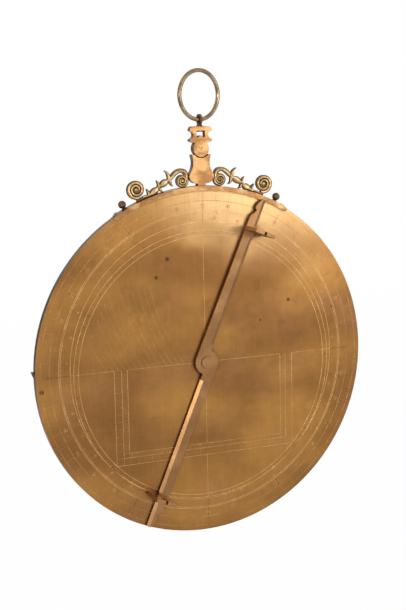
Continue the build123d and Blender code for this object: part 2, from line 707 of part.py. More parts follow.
# Pierced scrolls on both sides of the bracket
for side, name in ((1, "right"), (-1, "left")):
    outer_volute = on_rim(side * OUTER_VOLUTE[0], OUTER_VOLUTE[1])
    inner_volute = on_rim(side * INNER_VOLUTE[0], INNER_VOLUTE[1])
    crest_outside = [on_rim(side * along, rise) for along, rise in CREST_OUTSIDE]
    crest_inside = [on_rim(side * along, rise) for along, rise in CREST_INSIDE]
    stem = [on_rim(side * along, rise) for along, rise in STEM]
    leaves = [on_rim(side * along, rise) for along, rise in LEAVES]
    turn_out = 90 + side * OUTER_TURN
    turn_in = 90 + side * INNER_TURN
    slope = -side * LEAF_SLOPE
    with BuildPart() as scroll:
        with BuildSketch(face_at(SCROLL_T / 2)):
            snail(outer_volute, OUTER_VOLUTE_R, OUTER_SHRINK, turn_out, side)
            snail(inner_volute, INNER_VOLUTE_R, INNER_SHRINK, turn_in, side)
            tail_from, tail_to = [rim_angle(side * along) for along in TAIL]
            ring_sector(WEB_R - TAIL_BITE, WEB_R + TAIL_RISE, tail_from, tail_to)
            with BuildLine():
                Spline(*crest_outside)
                Line(crest_outside[-1], crest_inside[0])
                Spline(*crest_inside)
                Line(crest_inside[-1], crest_outside[0])
            make_face()
            with BuildLine():
                Polyline(*stem, stem[0])
            make_face()
            for leaf in leaves:
                lens(leaf, LEAF_HALF_LENGTH, LEAF_HALF_W, slope)
            for base, tip, width, bow in THORNS:
                thorn(on_rim(side * base[0], base[1]), on_rim(side * tip[0], tip[1]), width, side * bow)
            Circle(WEB_R + SEAT, mode=Mode.SUBTRACT)
        extrude(amount=SCROLL_T)
        for depth in (SCROLL_T / 2, -SCROLL_T / 2 + SCROLL_RELIEF):
            with BuildSketch(face_at(depth)):
                spiral_groove(outer_volute, *OUTER_GROOVE, OUTER_GROOVE_TURNS, GROOVE_W, turn_out, side)
                spiral_groove(inner_volute, *INNER_GROOVE, INNER_GROOVE_TURNS, GROOVE_W, turn_in, side)
                for leaf in leaves:
                    lens(leaf, VEIN_HALF_LENGTH, VEIN_HALF_W, slope)
            extrude(amount=SCROLL_RELIEF, mode=Mode.SUBTRACT)
    scroll.part.label = f"scroll_{name}"
    export_step(scroll.part, f"parts/scroll_{name}.step")

# Turned knobs near the ends of the saddle
neck_top = KNOB_RISE - sqrt(KNOB_R ** 2 - NECK_R ** 2)
foot_top = STACK_GAP + KNOB_FOOT_T
for side, name in ((1, "right"), (-1, "left")):
    out_x, out_z = polar(1, rim_angle(side * BALUSTER_ALONG))
    foot = (out_x * WEB_R, 0, DISC_Z + out_z * WEB_R)
    with BuildPart() as baluster:
        with BuildSketch(Plane(origin=foot, x_dir=(0, 1, 0), z_dir=(out_z, 0, -out_x))):
            with BuildLine():
                Polyline(
                    (0, KNOB_RISE + KNOB_R),
                    (0, STACK_GAP),
                    (KNOB_FOOT_R, STACK_GAP),
                    (KNOB_FOOT_R, foot_top),
                    (NECK_R, neck_top),
                )
                ThreePointArc((NECK_R, neck_top), (KNOB_R, KNOB_RISE), (0, KNOB_RISE + KNOB_R))
            make_face()
        revolve(axis=Axis(foot, (out_x, 0, out_z)), revolution_arc=360)
    baluster.part.label = f"baluster_{name}"
    export_step(baluster.part, f"parts/baluster_{name}.step")

# Bracket: vase outline, shoulders around the cheeks and a round tongue between them
shoulder_half_w = CHEEK_R + COVE_GAP + COVE_LIP
bracket_floor = WEB_R - BRACKET_SINK
with BuildPart() as bracket:
    with BuildSketch(face_at(THRONE_T / 2)):
        for side in (1, -1):
            foot, undercut, bulge, flank, neck = [
                (side * half_w, WEB_R + rise) for half_w, rise in BRACKET_PROFILE
            ]
            shoulder = (side * shoulder_half_w, SHOULDER_Z - SHOULDER_CHAMFER[1])
            corner = (side * (shoulder_half_w - SHOULDER_CHAMFER[0]), SHOULDER_Z)
            with BuildLine():
                Polyline((0, SHOULDER_Z), (0, bracket_floor), (foot[0], bracket_floor), foot)
                Spline(foot, undercut, bulge, flank, neck, shoulder)
                Polyline(shoulder, corner, (0, SHOULDER_Z))
            make_face()
        Circle(WEB_R + SEAT, mode=Mode.SUBTRACT)
        with Locations((0, HINGE_Z)):
            Circle(CHEEK_R + COVE_GAP, mode=Mode.SUBTRACT)
    extrude(amount=THRONE_T)
    with BuildSketch(face_at(TONGUE_T / 2)):
        with Locations((0, HINGE_Z)):
            Circle(CHEEK_R)
        with Locations((0, HINGE_Z - CHEEK_R)):
            Rectangle(2 * TONGUE_NECK_HALF_W, CHEEK_R)
    extrude(amount=TONGUE_T)
    with BuildSketch(face_at(THRONE_T)):
        with Locations((0, HINGE_Z)):
            Circle(HINGE_PIN_R + RUNNING)
        with Locations((0, WEB_R + BRACKET_RIVET_RISE)):
            Circle(BRACKET_RIVET_R + SEAT)
    extrude(amount=2 * THRONE_T, mode=Mode.SUBTRACT)
bracket.part.label = "bracket"
export_step(bracket.part, "parts/bracket.step")

with BuildPart() as bracket_rivet:
    with BuildSketch(face_at(THRONE_T / 2)):
        with Locations((0, WEB_R + BRACKET_RIVET_RISE)):
            Circle(BRACKET_RIVET_R)
    extrude(amount=THRONE_T)
bracket_rivet.part.label = "bracket_rivet"
export_step(bracket_rivet.part, "parts/bracket_rivet.step")

# Shackle: H-shaped yoke above two round cheeks, with a window for the swivel's end
with BuildPart() as shackle:
    with BuildSketch(face_at(YOKE_T / 2)):
        for side in (1, -1):
            top, top_round, cheek, horn_round, horn = [
                (side * (YOKE_HALF_W - inset), YOKE_TOP - drop) for inset, drop in YOKE_HORN
            ]
            lower_horn, lower_round, lower_edge, foot = [
                (side * (YOKE_HALF_W - inset), HINGE_Z + rise) for inset, rise in YOKE_FOOT
            ]
            waist = (side * (WINDOW_HALF_W + POST_W), (horn[1] + lower_horn[1]) / 2)
            with BuildLine():
                Polyline(foot, (0, HINGE_Z + YOKE_ROOT), (0, YOKE_TOP), top)
                ThreePointArc(top, top_round, cheek)
                ThreePointArc(cheek, horn_round, horn)
                ThreePointArc(horn, waist, lower_horn)
                ThreePointArc(lower_horn, lower_round, lower_edge)
                Line(lower_edge, foot)
            make_face()
        with Locations((0, (BAR_UNDERSIDE + WINDOW_FOOT) / 2)):
            Rectangle(2 * WINDOW_HALF_W, WINDOW_H, mode=Mode.SUBTRACT)
        with Locations((0, WINDOW_FOOT - BOLLARD_SINK)):
            Circle(BOLLARD_R)
    extrude(amount=YOKE_T)
    with BuildSketch(face_at(THRONE_T / 2)):
        with Locations((0, HINGE_Z)):
            Circle(CHEEK_R)
    extrude(amount=THRONE_T)
    with BuildSketch(face_at(TONGUE_T / 2 + LOOSE)):
        with Locations((0, HINGE_Z)):
            Circle(CHEEK_R + TONGUE_GAP)
        with Locations((0, HINGE_Z - CHEEK_R)):
            Rectangle(2 * (CHEEK_R + TONGUE_GAP), 2 * CHEEK_R)
    extrude(amount=TONGUE_T + 2 * LOOSE, mode=Mode.SUBTRACT)
    with BuildSketch(face_at(THRONE_T)):
        with Locations((0, HINGE_Z)):
            Circle(HINGE_PIN_R + SEAT)
    extrude(amount=2 * THRONE_T, mode=Mode.SUBTRACT)
    with BuildSketch(level(BAR_UNDERSIDE - STACK_GAP)):
        Circle(SHANK_R + RUNNING)
    extrude(amount=BAR_T + 2 * STACK_GAP, mode=Mode.SUBTRACT)
shackle.part.label = "shackle"
export_step(shackle.part, "parts/shackle.step")

# Hinge pin with a shallow dimple at each end
with BuildPart() as shackle_pin:
    with BuildSketch(face_at(THRONE_T / 2)):
        with Locations((0, HINGE_Z)):
            Circle(HINGE_PIN_R)
    extrude(amount=THRONE_T)
    for depth in (THRONE_T / 2, -THRONE_T / 2 + DIMPLE_DEPTH):
        with BuildSketch(face_at(depth)):
            with Locations((0, HINGE_Z)):
                Circle(DIMPLE_R)
        extrude(amount=DIMPLE_DEPTH, mode=Mode.SUBTRACT)
shackle_pin.part.label = "shackle_pin"
export_step(shackle_pin.part, "parts/shackle_pin.step")

# Swivel: oval eye around the ring's wire, collar, and shank through the yoke
ring_along = polar(1, RING_TURN)
eye_plane = Plane(
    origin=(0, 0, WIRE_Z),
    x_dir=(-ring_along[1], ring_along[0], 0),
    z_dir=(ring_along[0], ring_along[1], 0),
)
with BuildPart() as swivel_eye:
    with BuildSketch(eye_plane):
        Ellipse(EYE_HALF_W, EYE_HALF_H)
    extrude(amount=EYE_T / 2, both=True)
    with BuildSketch(level(YOKE_TOP + STACK_GAP)):
        Circle(COLLAR_R)
    extrude(amount=COLLAR_T, taper=COLLAR_TAPER)
    with BuildSketch(level(BAR_UNDERSIDE - STACK_GAP)):
        Circle(SHANK_R)
    extrude(amount=BAR_T + EYE_ABOVE_YOKE)
    with BuildSketch(eye_plane):
        Circle(EYE_HOLE_R)
    extrude(amount=2 * EYE_T, both=True, mode=Mode.SUBTRACT)
swivel_eye.part.label = "swivel_eye"
export_step(swivel_eye.part, "parts/swivel_eye.step")

# Button riveted on the shank inside the window
with BuildPart() as swivel_button:
    with BuildSketch(level(BAR_UNDERSIDE - STACK_GAP - SWIVEL_BUTTON_T)):
        Circle(SWIVEL_BUTTON_R)
    extrude(amount=SWIVEL_BUTTON_T)
swivel_button.part.label = "swivel_button"
export_step(swivel_button.part, "parts/swivel_button.step")

# Suspension ring
ring_plane = Plane(
    origin=(0, 0, RING_Z),
    x_dir=(ring_along[0], ring_along[1], 0),
    z_dir=(ring_along[1], -ring_along[0], 0),
)
with BuildPart(ring_plane) as suspension_ring:
    Torus(RING_MEAN_R, RING_WIRE_R)
suspension_ring.part.label = "suspension_ring"
export_step(suspension_ring.part, "parts/suspension_ring.step")
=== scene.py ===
# %% [markdown]
# A large brass astrolabe, seen on its back, the side with the sighting rule.
# The metalwork comes ready made from the frame: plates, rivets, throne, ring and sights.
# What this lesson adds is the work of the engraver and of long use: the engraved circles,
# scales and numbers, and the brass itself, brushed, patinated and worn.
# Everything is in metres, with the hang point at the origin and the back facing -Y.

# %% Load the frame
import json
import math
import bpy
import numpy as np
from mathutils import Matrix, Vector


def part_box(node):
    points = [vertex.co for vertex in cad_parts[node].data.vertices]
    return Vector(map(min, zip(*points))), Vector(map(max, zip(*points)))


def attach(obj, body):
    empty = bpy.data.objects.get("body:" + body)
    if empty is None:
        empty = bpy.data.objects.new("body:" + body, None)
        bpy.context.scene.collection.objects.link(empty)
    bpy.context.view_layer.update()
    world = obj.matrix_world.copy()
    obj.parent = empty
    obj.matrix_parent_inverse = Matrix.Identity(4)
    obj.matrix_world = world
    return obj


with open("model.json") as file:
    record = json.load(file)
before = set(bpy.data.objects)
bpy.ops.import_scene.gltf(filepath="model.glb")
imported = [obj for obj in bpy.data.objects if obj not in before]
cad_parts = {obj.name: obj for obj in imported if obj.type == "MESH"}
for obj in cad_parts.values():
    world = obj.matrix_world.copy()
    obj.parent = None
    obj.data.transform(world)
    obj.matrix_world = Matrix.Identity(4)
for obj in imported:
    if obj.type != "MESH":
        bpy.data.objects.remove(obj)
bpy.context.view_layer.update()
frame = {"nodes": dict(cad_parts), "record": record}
nodes = frame["nodes"]
MM = 0.001

# %% [markdown]
# The disc's size and place are read from the plates themselves, so that the engraving
# follows them. The back plate's box gives the centre, the radius and the back face. Those
# of the raised limb and of the topmost latitude plate give the faces on the other side.

# %% Measure the disc
plate_low, plate_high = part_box("mater_plate")
limb_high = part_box("limb")[1]
tympan_low, tympan_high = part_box("tympan_3")
DISC_Z = (plate_low.z + plate_high.z) / 2
DISC_R = (plate_high.x - plate_low.x) / 2
BACK_Y = plate_low.y
LIMB_Y = limb_high.y
TYMPAN_Y = tympan_high.y
TYMPAN_R = (tympan_high.x - tympan_low.x) / 2
print(f"disc radius {DISC_R / MM:.1f} mm, centre at z {DISC_Z / MM:.1f} mm")

# %% [markdown]
# The camera stands to the left of the instrument and a little above its middle,
# as in the photograph. A camera looks along its own -Z, so its axes are worked out
# from the two angles and a small roll, and put into its matrix as columns.

# %% Place the camera
CAMERA_AT = (-0.4181, -1.0164, -0.0253)
CAMERA_AZIMUTH = math.radians(-22.36)
CAMERA_ELEVATION = math.radians(9.47)
CAMERA_ROLL = math.radians(-1.15)
LENS_MM = 72.1
SENSOR_MM = 36.0


def camera_axes(azimuth, elevation, roll):
    """Right, up and back directions of a camera: the back direction points from the
    object to the lens, right is level, and the roll turns right and up about back."""
    back = np.array([math.sin(azimuth) * math.cos(elevation),
                     -math.cos(azimuth) * math.cos(elevation),
                     math.sin(elevation)])
    right = np.array([math.cos(azimuth), math.sin(azimuth), 0.0])
    up = np.cross(back, right)
    turned = right * math.cos(roll) + up * math.sin(roll)
    return turned, np.cross(back, turned), back


camera_data = bpy.data.cameras.new("camera")
camera_data.lens = LENS_MM
camera_data.sensor_width = SENSOR_MM
camera = bpy.data.objects.new("camera", camera_data)
bpy.context.scene.collection.objects.link(camera)
matrix = np.eye(4)
matrix[:3, :3] = np.stack(camera_axes(CAMERA_AZIMUTH, CAMERA_ELEVATION, CAMERA_ROLL), 1)
matrix[:3, 3] = CAMERA_AT
camera.matrix_world = matrix.T.tolist()
bpy.context.scene.camera = camera
bpy.context.scene.view_settings.view_transform = "Standard"
print("camera looks along", [round(-v, 3) for v in matrix[:3, 2]])

# %% [markdown]
# A material is a small machine of nodes. A few helpers keep the wiring short: one adds a
# node and sets its values, one does a step of arithmetic, one mixes two colours.
# Each input may be a number, a colour or another node's output.

# %% Node helpers
class Wiring:
    """Adds nodes to one material and links them."""

    def __init__(self, name):
        self.material = bpy.data.materials.new(name)
        self.material.use_nodes = True
        self.tree = self.material.node_tree
        self.tree.nodes.clear()
        self.place = self.node("ShaderNodeTexCoord").outputs["Object"]

    def feed(self, socket, value):
        """Links an output to a socket, or writes a plain value into it."""
        if isinstance(value, bpy.types.NodeSocket):
            self.tree.links.new(value, socket)
        else:
            socket.default_value = value

    def node(self, kind, **settings):
        """Adds a node and sets its properties."""
        made = self.tree.nodes.new(kind)
        for key, value in settings.items():
            setattr(made, key, value)
        return made

    def math(self, operation, *values):
        """One step of arithmetic on numbers."""
        made = self.node("ShaderNodeMath", operation=operation)
        for socket, value in zip(made.inputs, values):
            self.feed(socket, value)
        return made.outputs[0]

    def vector(self, operation, *values):
        """One step of arithmetic on vectors."""
        made = self.node("ShaderNodeVectorMath", operation=operation)
        for socket, value in zip(made.inputs, values):
            self.feed(socket, value)
        return made

    def mix(self, share, first, second):
        """Mixes two colours by a share from 0 to 1. The node has sockets for several kinds
        of data, and those for colours are inputs 6 and 7 and output 2."""
        made = self.node("ShaderNodeMix", data_type="RGBA")
        self.feed(made.inputs["Factor"], share)
        self.feed(made.inputs[6], first)
        self.feed(made.inputs[7], second)
        return made.outputs[2]

    def ramp(self, value, low, high):
        """0 up to the low value, 1 from the high one on, smooth between. With low above
        high it falls instead: 1 up to high and 0 from low on."""
        made = self.node("ShaderNodeMapRange", interpolation_type="SMOOTHSTEP")
        self.feed(made.inputs["Value"], value)
        made.inputs["From Min"].default_value = low
        made.inputs["From Max"].default_value = high
        return made.outputs["Result"]

    def noise(self, size, detail=3.0, rough=0.5, stretch=(1, 1, 1), shift=(0, 0, 0)):
        """Soft random values whose patches are about as wide as the size, in metres."""
        placed = self.node("ShaderNodeMapping")
        self.feed(placed.inputs["Vector"], self.place)
        placed.inputs["Location"].default_value = shift
        placed.inputs["Scale"].default_value = [s / size for s in stretch]
        made = self.node("ShaderNodeTexNoise")
        self.feed(made.inputs["Vector"], placed.outputs[0])
        made.inputs["Scale"].default_value = 1.0
        made.inputs["Detail"].default_value = detail
        made.inputs["Roughness"].default_value = rough
        return made.outputs["Fac"]


print("helpers ready")

# %% [markdown]
# Old brass is not one colour. Broad soft clouds go from brown to gold, smaller ones are
# pinkish, and fine lines from polishing run up and down and from side to side. Light and
# shade are also painted into the colour: a pale patch on the back is a painted highlight,
# narrow side faces get painted shade, and corners are darkened by painted shade together
# with dirt that no cloth reaches. Every piece of this instrument is that same brass with
# other shares of each, so one function makes them all. The Bevel node rounds the light on
# sharp edges, and the Ambient Occlusion node finds the corners. Side faces are known by
# their direction within their own object, so they are the same ones when a joint turns it.

# %% The brass
MOTTLE_SIZE = 9 * MM
BRUSH_SIZE = 0.9 * MM
BRUSH_STRETCH = 0.02
CLOUD_STRETCH = 1.7
UPRIGHT_SHARE = 0.6


def linear(*srgb):
    """Colour as a screen shows it, 0 to 255, turned into the linear values of a shader."""
    c = np.array(srgb, float) / 255
    c = np.where(c <= 0.04045, c / 12.92, ((c + 0.055) / 1.055) ** 2.4)
    return (*[float(v) for v in c], 1.0)


def brass(name, brown, gold, pink, dark, roughness=0.38, side_shade=0.5, shade_and_grime=0.6,
          cloud=0.09, grain=0.5, round_edge=0.25 * MM, spots=(), metal=0.85, pale=None,
          shade_and_dirt_reach=2.5 * MM):
    """Brushed, patinated brass. brown, gold, pink and dark are its four tones. cloud is the
    width of the clouds and grain the strength of the polishing lines. side_shade says how
    dark side faces are painted, as painted shade, and shade_and_grime how dark corners are,
    as painted shade together with dirt; shade_and_dirt_reach says how far out of a corner
    that darkening comes, and round_edge how round the edges look. spots are (x, z, size)
    stains and pale is (tone, x, z, reach) of a painted highlight, both on the back."""
    w = Wiring(name)
    clouds = w.ramp(w.noise(cloud, detail=2.0, stretch=(1, 1, CLOUD_STRETCH)), 0.36, 0.66)
    blush = w.ramp(w.noise(0.45 * cloud, detail=4.0, rough=0.6, shift=(3.1, 0, 7.7)), 0.48, 0.72)
    mottle = w.noise(MOTTLE_SIZE, detail=5.0, rough=0.65)
    upright = w.noise(BRUSH_SIZE, detail=2.0, stretch=(1, 1, BRUSH_STRETCH))
    level = w.noise(BRUSH_SIZE, detail=2.0, stretch=(BRUSH_STRETCH, 1, 1))
    streaks = w.math("ADD", w.math("MULTIPLY", upright, UPRIGHT_SHARE),
                     w.math("MULTIPLY", level, 1 - UPRIGHT_SHARE))

    # The four tones, and light and shade from mottle and polishing lines
    tone = w.mix(clouds, brown, gold)
    tone = w.mix(w.math("MULTIPLY", blush, 0.45), tone, pink)
    # Painted highlight: towards a point near the top right of the back the tone goes pale, as lamp light
    # would make it
    if pale:
        sheen_tone, pale_x, pale_z, reach = pale
        far = w.vector("DISTANCE", w.place, (pale_x, BACK_Y, pale_z)).outputs["Value"]
        uneven = w.math("MULTIPLY_ADD", w.math("SUBTRACT", clouds, 0.5), -0.3 * reach, far)
        tone = w.mix(w.ramp(uneven, reach, 0.25 * reach), tone, sheen_tone)
    shade = w.math("MULTIPLY_ADD", w.math("SUBTRACT", mottle, 0.5), 0.35, 1.0)
    shade = w.math("MULTIPLY_ADD", w.math("SUBTRACT", streaks, 0.5), grain, shade)
    scaled = w.vector("SCALE", tone)
    w.feed(scaled.inputs["Scale"], shade)
    tone = scaled.outputs["Vector"]

    # Painted shade: darker where a face looks to the side, up or down, and not along Y
    facing = w.node("ShaderNodeTexCoord").outputs["Normal"]
    apart = w.node("ShaderNodeSeparateXYZ")
    w.feed(apart.inputs[0], w.vector("ABSOLUTE", facing).outputs["Vector"])
    side_shade_mask = w.ramp(apart.outputs["Y"], 0.75, 0.35)
    tone = w.mix(w.math("MULTIPLY", side_shade_mask, side_shade), tone, dark)

    # Painted shade and dirt in the corners, and the stains
    corners = w.node("ShaderNodeAmbientOcclusion", samples=8)
    corners.inputs["Distance"].default_value = shade_and_dirt_reach
    shade_and_dirt = w.math("MULTIPLY", w.ramp(corners.outputs["AO"], 0.85, 0.35), shade_and_grime)
    tone = w.mix(shade_and_dirt, tone, dark)
    for spot_x, spot_z, size in spots:
        far = w.vector("DISTANCE", w.place, (spot_x, BACK_Y, spot_z)).outputs["Value"]
        uneven = w.math("MULTIPLY_ADD", mottle, -1.2 * size, far)
        tone = w.mix(w.math("MULTIPLY", w.ramp(uneven, 0.6 * size, -0.2 * size), 0.75), tone, dark)

    # Gloss, rounded edges and the relief of the polishing lines
    shader = w.node("ShaderNodeBsdfPrincipled")
    w.feed(shader.inputs["Base Color"], tone)
    shader.inputs["Metallic"].default_value = metal
    rough = w.math("MULTIPLY_ADD", w.math("SUBTRACT", mottle, 0.5), 0.25, roughness)
    rough = w.math("MULTIPLY_ADD", shade_and_dirt, 0.25, rough)
    w.feed(shader.inputs["Roughness"], rough)
    soft = w.node("ShaderNodeBevel", samples=4)
    soft.inputs["Radius"].default_value = round_edge
    relief = w.node("ShaderNodeBump")
    relief.inputs["Strength"].default_value = 0.10
    relief.inputs["Distance"].default_value = 0.2 * MM
    w.feed(relief.inputs["Height"], w.math("ADD", streaks, mottle))
    w.feed(relief.inputs["Normal"], soft.outputs["Normal"])
    w.feed(shader.inputs["Normal"], relief.outputs["Normal"])
    out = w.node("ShaderNodeOutputMaterial")
    w.feed(out.inputs["Surface"], shader.outputs["BSDF"])
    return w.material


BROWN = linear(134, 91, 47)
GOLD = linear(168, 120, 60)
PINK = linear(158, 110, 72)
DARK = linear(52, 34, 22)
print("tones:", BROWN[:3], GOLD[:3])

# %% [markdown]
# The back of the disc has a few small dark stains, at places of their own.
# They are given as places on the disc, in millimetres from its centre, with a size.

# %% Stains on the back
STAINS = [(-35, 97, 2.4), (-46, 81, 2.0), (85, 51, 2.0),
          (131, 41, 1.6), (-155, -12, 2.4), (56, 34, 1.2)]
stains = [(x * MM, DISC_Z + z * MM, size * MM) for x, z, size in STAINS]
print(len(stains), "stains")

# %% [markdown]
# Now the finishes of the single pieces. The disc has a painted highlight, a pale patch
# near its top, on the right, where lamp light is put into the colour. The throne is lighter
# than the disc, and the sighting rule a little duller. The scrolls are dark, with paler
# carving on top, the knobs and the swivel a deep brown, and the ring is greyer than the
# rest. On the other side the star map is bright, so that it stands out from the dull
# plates under it.

# %% Finishes
# Painted highlight: the pale tone of a patch of lamp light on the back, its middle and its reach.
HIGHLIGHT_TONE = linear(200, 162, 112)
HIGHLIGHT_X = 55 * MM
HIGHLIGHT_Z = DISC_Z + 168 * MM
HIGHLIGHT_REACH = 115 * MM

finishes = {
    # The back's corner darkening reaches far, so it also paints shade round the sights and along the
    # sighting rule.
    "brass_back": brass(
        "back_brass", BROWN, GOLD, PINK, DARK, spots=stains, side_shade=0.95, cloud=0.12,
        roughness=0.32, shade_and_dirt_reach=11 * MM, shade_and_grime=0.8, grain=0.3,
        pale=(HIGHLIGHT_TONE, HIGHLIGHT_X, HIGHLIGHT_Z, HIGHLIGHT_REACH)),
    "brass_throne": brass(
        "throne_brass", linear(146, 102, 60), linear(190, 148, 96), linear(180, 132, 96),
        linear(92, 58, 32), cloud=0.016, side_shade=0.8, roughness=0.34,
        round_edge=0.4 * MM, shade_and_dirt_reach=5 * MM, shade_and_grime=0.9),
    "brass_scroll": brass(
        "scroll_brass", linear(96, 70, 42), linear(130, 96, 58), linear(112, 82, 56),
        linear(40, 27, 18), cloud=0.008, side_shade=0.9, shade_and_grime=1.0, roughness=0.45),
    "brass_dark": brass(
        "knob_brass", linear(92, 64, 42), linear(126, 90, 60), linear(110, 76, 54),
        linear(36, 25, 18), cloud=0.004, side_shade=0.1, roughness=0.42),
    "brass_ring": brass(
        "ring_brass", linear(122, 102, 76), linear(166, 142, 108), linear(148, 124, 98),
        linear(48, 36, 26), cloud=0.02, side_shade=0.0, roughness=0.24, grain=0.1),
    "brass_front": brass(
        "front_brass", linear(150, 106, 56), linear(172, 126, 68), PINK, DARK, cloud=0.12),
    "brass_arm": brass(
        "arm_brass", linear(140, 100, 62), linear(160, 118, 74), linear(160, 116, 84),
        linear(84, 48, 20), cloud=0.04, side_shade=0.3, roughness=0.32, round_edge=0.4 * MM),
}
for part in frame["record"]["subparts"]:
    holder = nodes[part["node"]]
    holder.data.materials.clear()
    holder.data.materials.append(finishes[part["material_slot"]])
rete_brass = brass(
    "rete_brass", linear(176, 130, 66), linear(204, 158, 84), linear(190, 144, 92), DARK,
    cloud=0.1, roughness=0.3, side_shade=0.7)
tympan_brass = brass(
    "tympan_brass", linear(112, 84, 52), linear(134, 104, 66), linear(124, 94, 66), DARK,
    cloud=0.1, roughness=0.4, shade_and_dirt_reach=6 * MM)
for node_name in ("rete", "rete_button", "rule"):
    nodes[node_name].data.materials[0] = rete_brass
for node_name in ("tympan_1", "tympan_2", "tympan_3"):
    nodes[node_name].data.materials[0] = tympan_brass
carving = brass(
    "carving_brass", linear(172, 140, 94), linear(214, 182, 132), linear(196, 160, 124),
    linear(60, 42, 26), cloud=0.006, side_shade=0.0, shade_and_grime=1.0, roughness=0.36)

# %% [markdown]
# An engraved line is a tiny groove whose cleaned edges catch the light. At this scale it
# shows as a thin line, lighter than the patina around it. Here each line is a thin
# ribbon of bright brass, lying on the plate and a few hundredths of a millimetre proud,
# so that it can also be seen from the side. A path is a row of points in the plane of
# the disc, and the ribbon's section, a low trapezium, is carried along it.

# %% Ribbons along a path
LINE_W = 0.32 * MM
FINE_W = 0.75 * LINE_W
LINE_H = 0.04 * MM
LINE_SINK = 0.02 * MM
SECTION_ACROSS = np.array([-0.5, -0.33, 0.33, 0.5])
SECTION_UP = np.array([-LINE_SINK, LINE_H, LINE_H, -LINE_SINK])


def ribbon(path, width=LINE_W, closed=False):
    """Vertices (u, v, h) and faces of a ribbon along a path of (u, v) points.
    At each point the section goes out along the path's normal by half the width at the
    foot and by a third at the top: four corners, carried from point to point."""
    path = np.asarray(path, float)
    ahead = np.roll(path, -1, 0) - path
    behind = path - np.roll(path, 1, 0)
    if not closed:
        ahead[-1] = behind[-1]
        behind[0] = ahead[0]
    ahead /= np.linalg.norm(ahead, axis=1)[:, None]
    behind /= np.linalg.norm(behind, axis=1)[:, None]
    along = ahead + behind
    along /= np.linalg.norm(along, axis=1)[:, None]
    normal = np.stack([-along[:, 1], along[:, 0]], 1)
    across = SECTION_ACROSS * width
    flat = path[:, None, :] + normal[:, None, :] * across[None, :, None]
    count = len(path)
    tall = np.broadcast_to(SECTION_UP[None, :, None], (count, 4, 1))
    vertices = np.concatenate([flat, tall], 2).reshape(-1, 3)
    row = np.arange(count if closed else count - 1)
    corner = np.arange(4)
    a = (row[:, None] * 4 + corner).ravel()
    b = (row[:, None] * 4 + (corner + 1) % 4).ravel()
    total = count * 4
    faces = np.stack([a, (a + 4) % total, (b + 4) % total, b], 1)
    if not closed:
        ends = np.array([[0, 1, 2, 3], [total - 1, total - 2, total - 3, total - 4]])
        faces = np.concatenate([faces, ends])
    return vertices, faces


def joined(parts):
    """Several (vertices, faces) pairs as one, with the face numbers moved on."""
    offsets = np.cumsum([0] + [len(v) for v, _ in parts[:-1]])
    vertices = np.concatenate([v for v, _ in parts])
    faces = np.concatenate([f + o for (_, f), o in zip(parts, offsets)])
    return vertices, faces


test_vertices, test_faces = ribbon([(0, 0), (1, 0), (2, 1)])
print("a ribbon of three points has", len(test_vertices), "vertices and", len(test_faces), "faces")

# %% [markdown]
# Circles and ticks are rows of such paths. A circle is a closed path. A row of ticks
# is many short straight ribbons, and all of them are worked out at once as arrays.

# %% Circles, arcs, ticks
def arc(radius, start=0.0, end=360.0, centre=(0.0, 0.0), step=1.5):
    """Points of an arc: centre plus radius times (cos, sin) of evenly spaced degrees."""
    count = max(2, int(abs(end - start) / step) + 1)
    angle = np.radians(np.linspace(start, end, count))
    return np.stack([centre[0] + radius * np.cos(angle), centre[1] + radius * np.sin(angle)], 1)


def circle(radius, centre=(0.0, 0.0), width=LINE_W):
    """Closed ribbon along a whole circle."""
    return ribbon(arc(radius, centre=centre)[:-1], width, closed=True)


def bars(start, end, width):
    """Many straight ribbons at once, from an array of start points to one of end points.
    Each has the eight corners of a flat box: start and end, left and right, foot and top."""
    start, end = np.asarray(start, float), np.asarray(end, float)
    along = end - start
    along /= np.linalg.norm(along, axis=1)[:, None]
    normal = np.stack([-along[:, 1], along[:, 0]], 1)
    across = SECTION_ACROSS * width
    ends = np.stack([start, end], 1)
    flat = ends[:, :, None, :] + normal[:, None, None, :] * across[None, None, :, None]
    tall = np.broadcast_to(SECTION_UP[None, None, :, None], flat.shape[:3] + (1,))
    vertices = np.concatenate([flat, tall], 3).reshape(-1, 3)
    box = np.array([[0, 4, 5, 1], [1, 5, 6, 2], [2, 6, 7, 3], [3, 7, 4, 0], [0, 1, 2, 3], [7, 6, 5, 4]])
    faces = (np.arange(len(start))[:, None, None] * 8 + box[None]).reshape(-1, 4)
    return vertices, faces


def cross(reach):
    """The horizontal and the vertical diameter, out to a radius."""
    return bars([(-reach, 0), (0, -reach)], [(reach, 0), (0, reach)], LINE_W)


def ticks(inner, outer, angles, centre=(0.0, 0.0), width=FINE_W):
    """Radial ticks from one radius to another at each of the angles, in degrees."""
    angle = np.radians(np.asarray(angles, float))
    way = np.stack([np.cos(angle), np.sin(angle)], 1)
    return bars(centre + way * inner, centre + way * outer, width)


def shown(name, geometry, y, facing, body, finish):
    """Makes a piece of (u, v, h) geometry on a face of the disc. h stands out of the face
    and v goes up from the disc's centre. u goes to the right of someone who looks at that
    face, so to X on the back, where facing is -1, and to -X on the front."""
    vertices, faces = geometry
    placed = np.stack([-facing * vertices[:, 0], y + facing * vertices[:, 2], DISC_Z + vertices[:, 1]], 1)
    mesh = bpy.data.meshes.new(name)
    mesh.from_pydata(placed.tolist(), [], [[int(c) for c in face] for face in faces])
    mesh.materials.append(finish)
    mesh.validate()
    piece = bpy.data.objects.new(name, mesh)
    bpy.context.scene.collection.objects.link(piece)
    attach(piece, body)
    print(f"{name}: {len(faces)} faces")
    return piece


print("a circle has", len(circle(0.1)[1]), "faces")

# %% [markdown]
# The bright brass of the engraved lines: the same metal as the plate under it, without
# the patina, and broken by noise, because worn lines come and go. Only the limb's lines
# on the other side are dark, as if dirt had filled them.

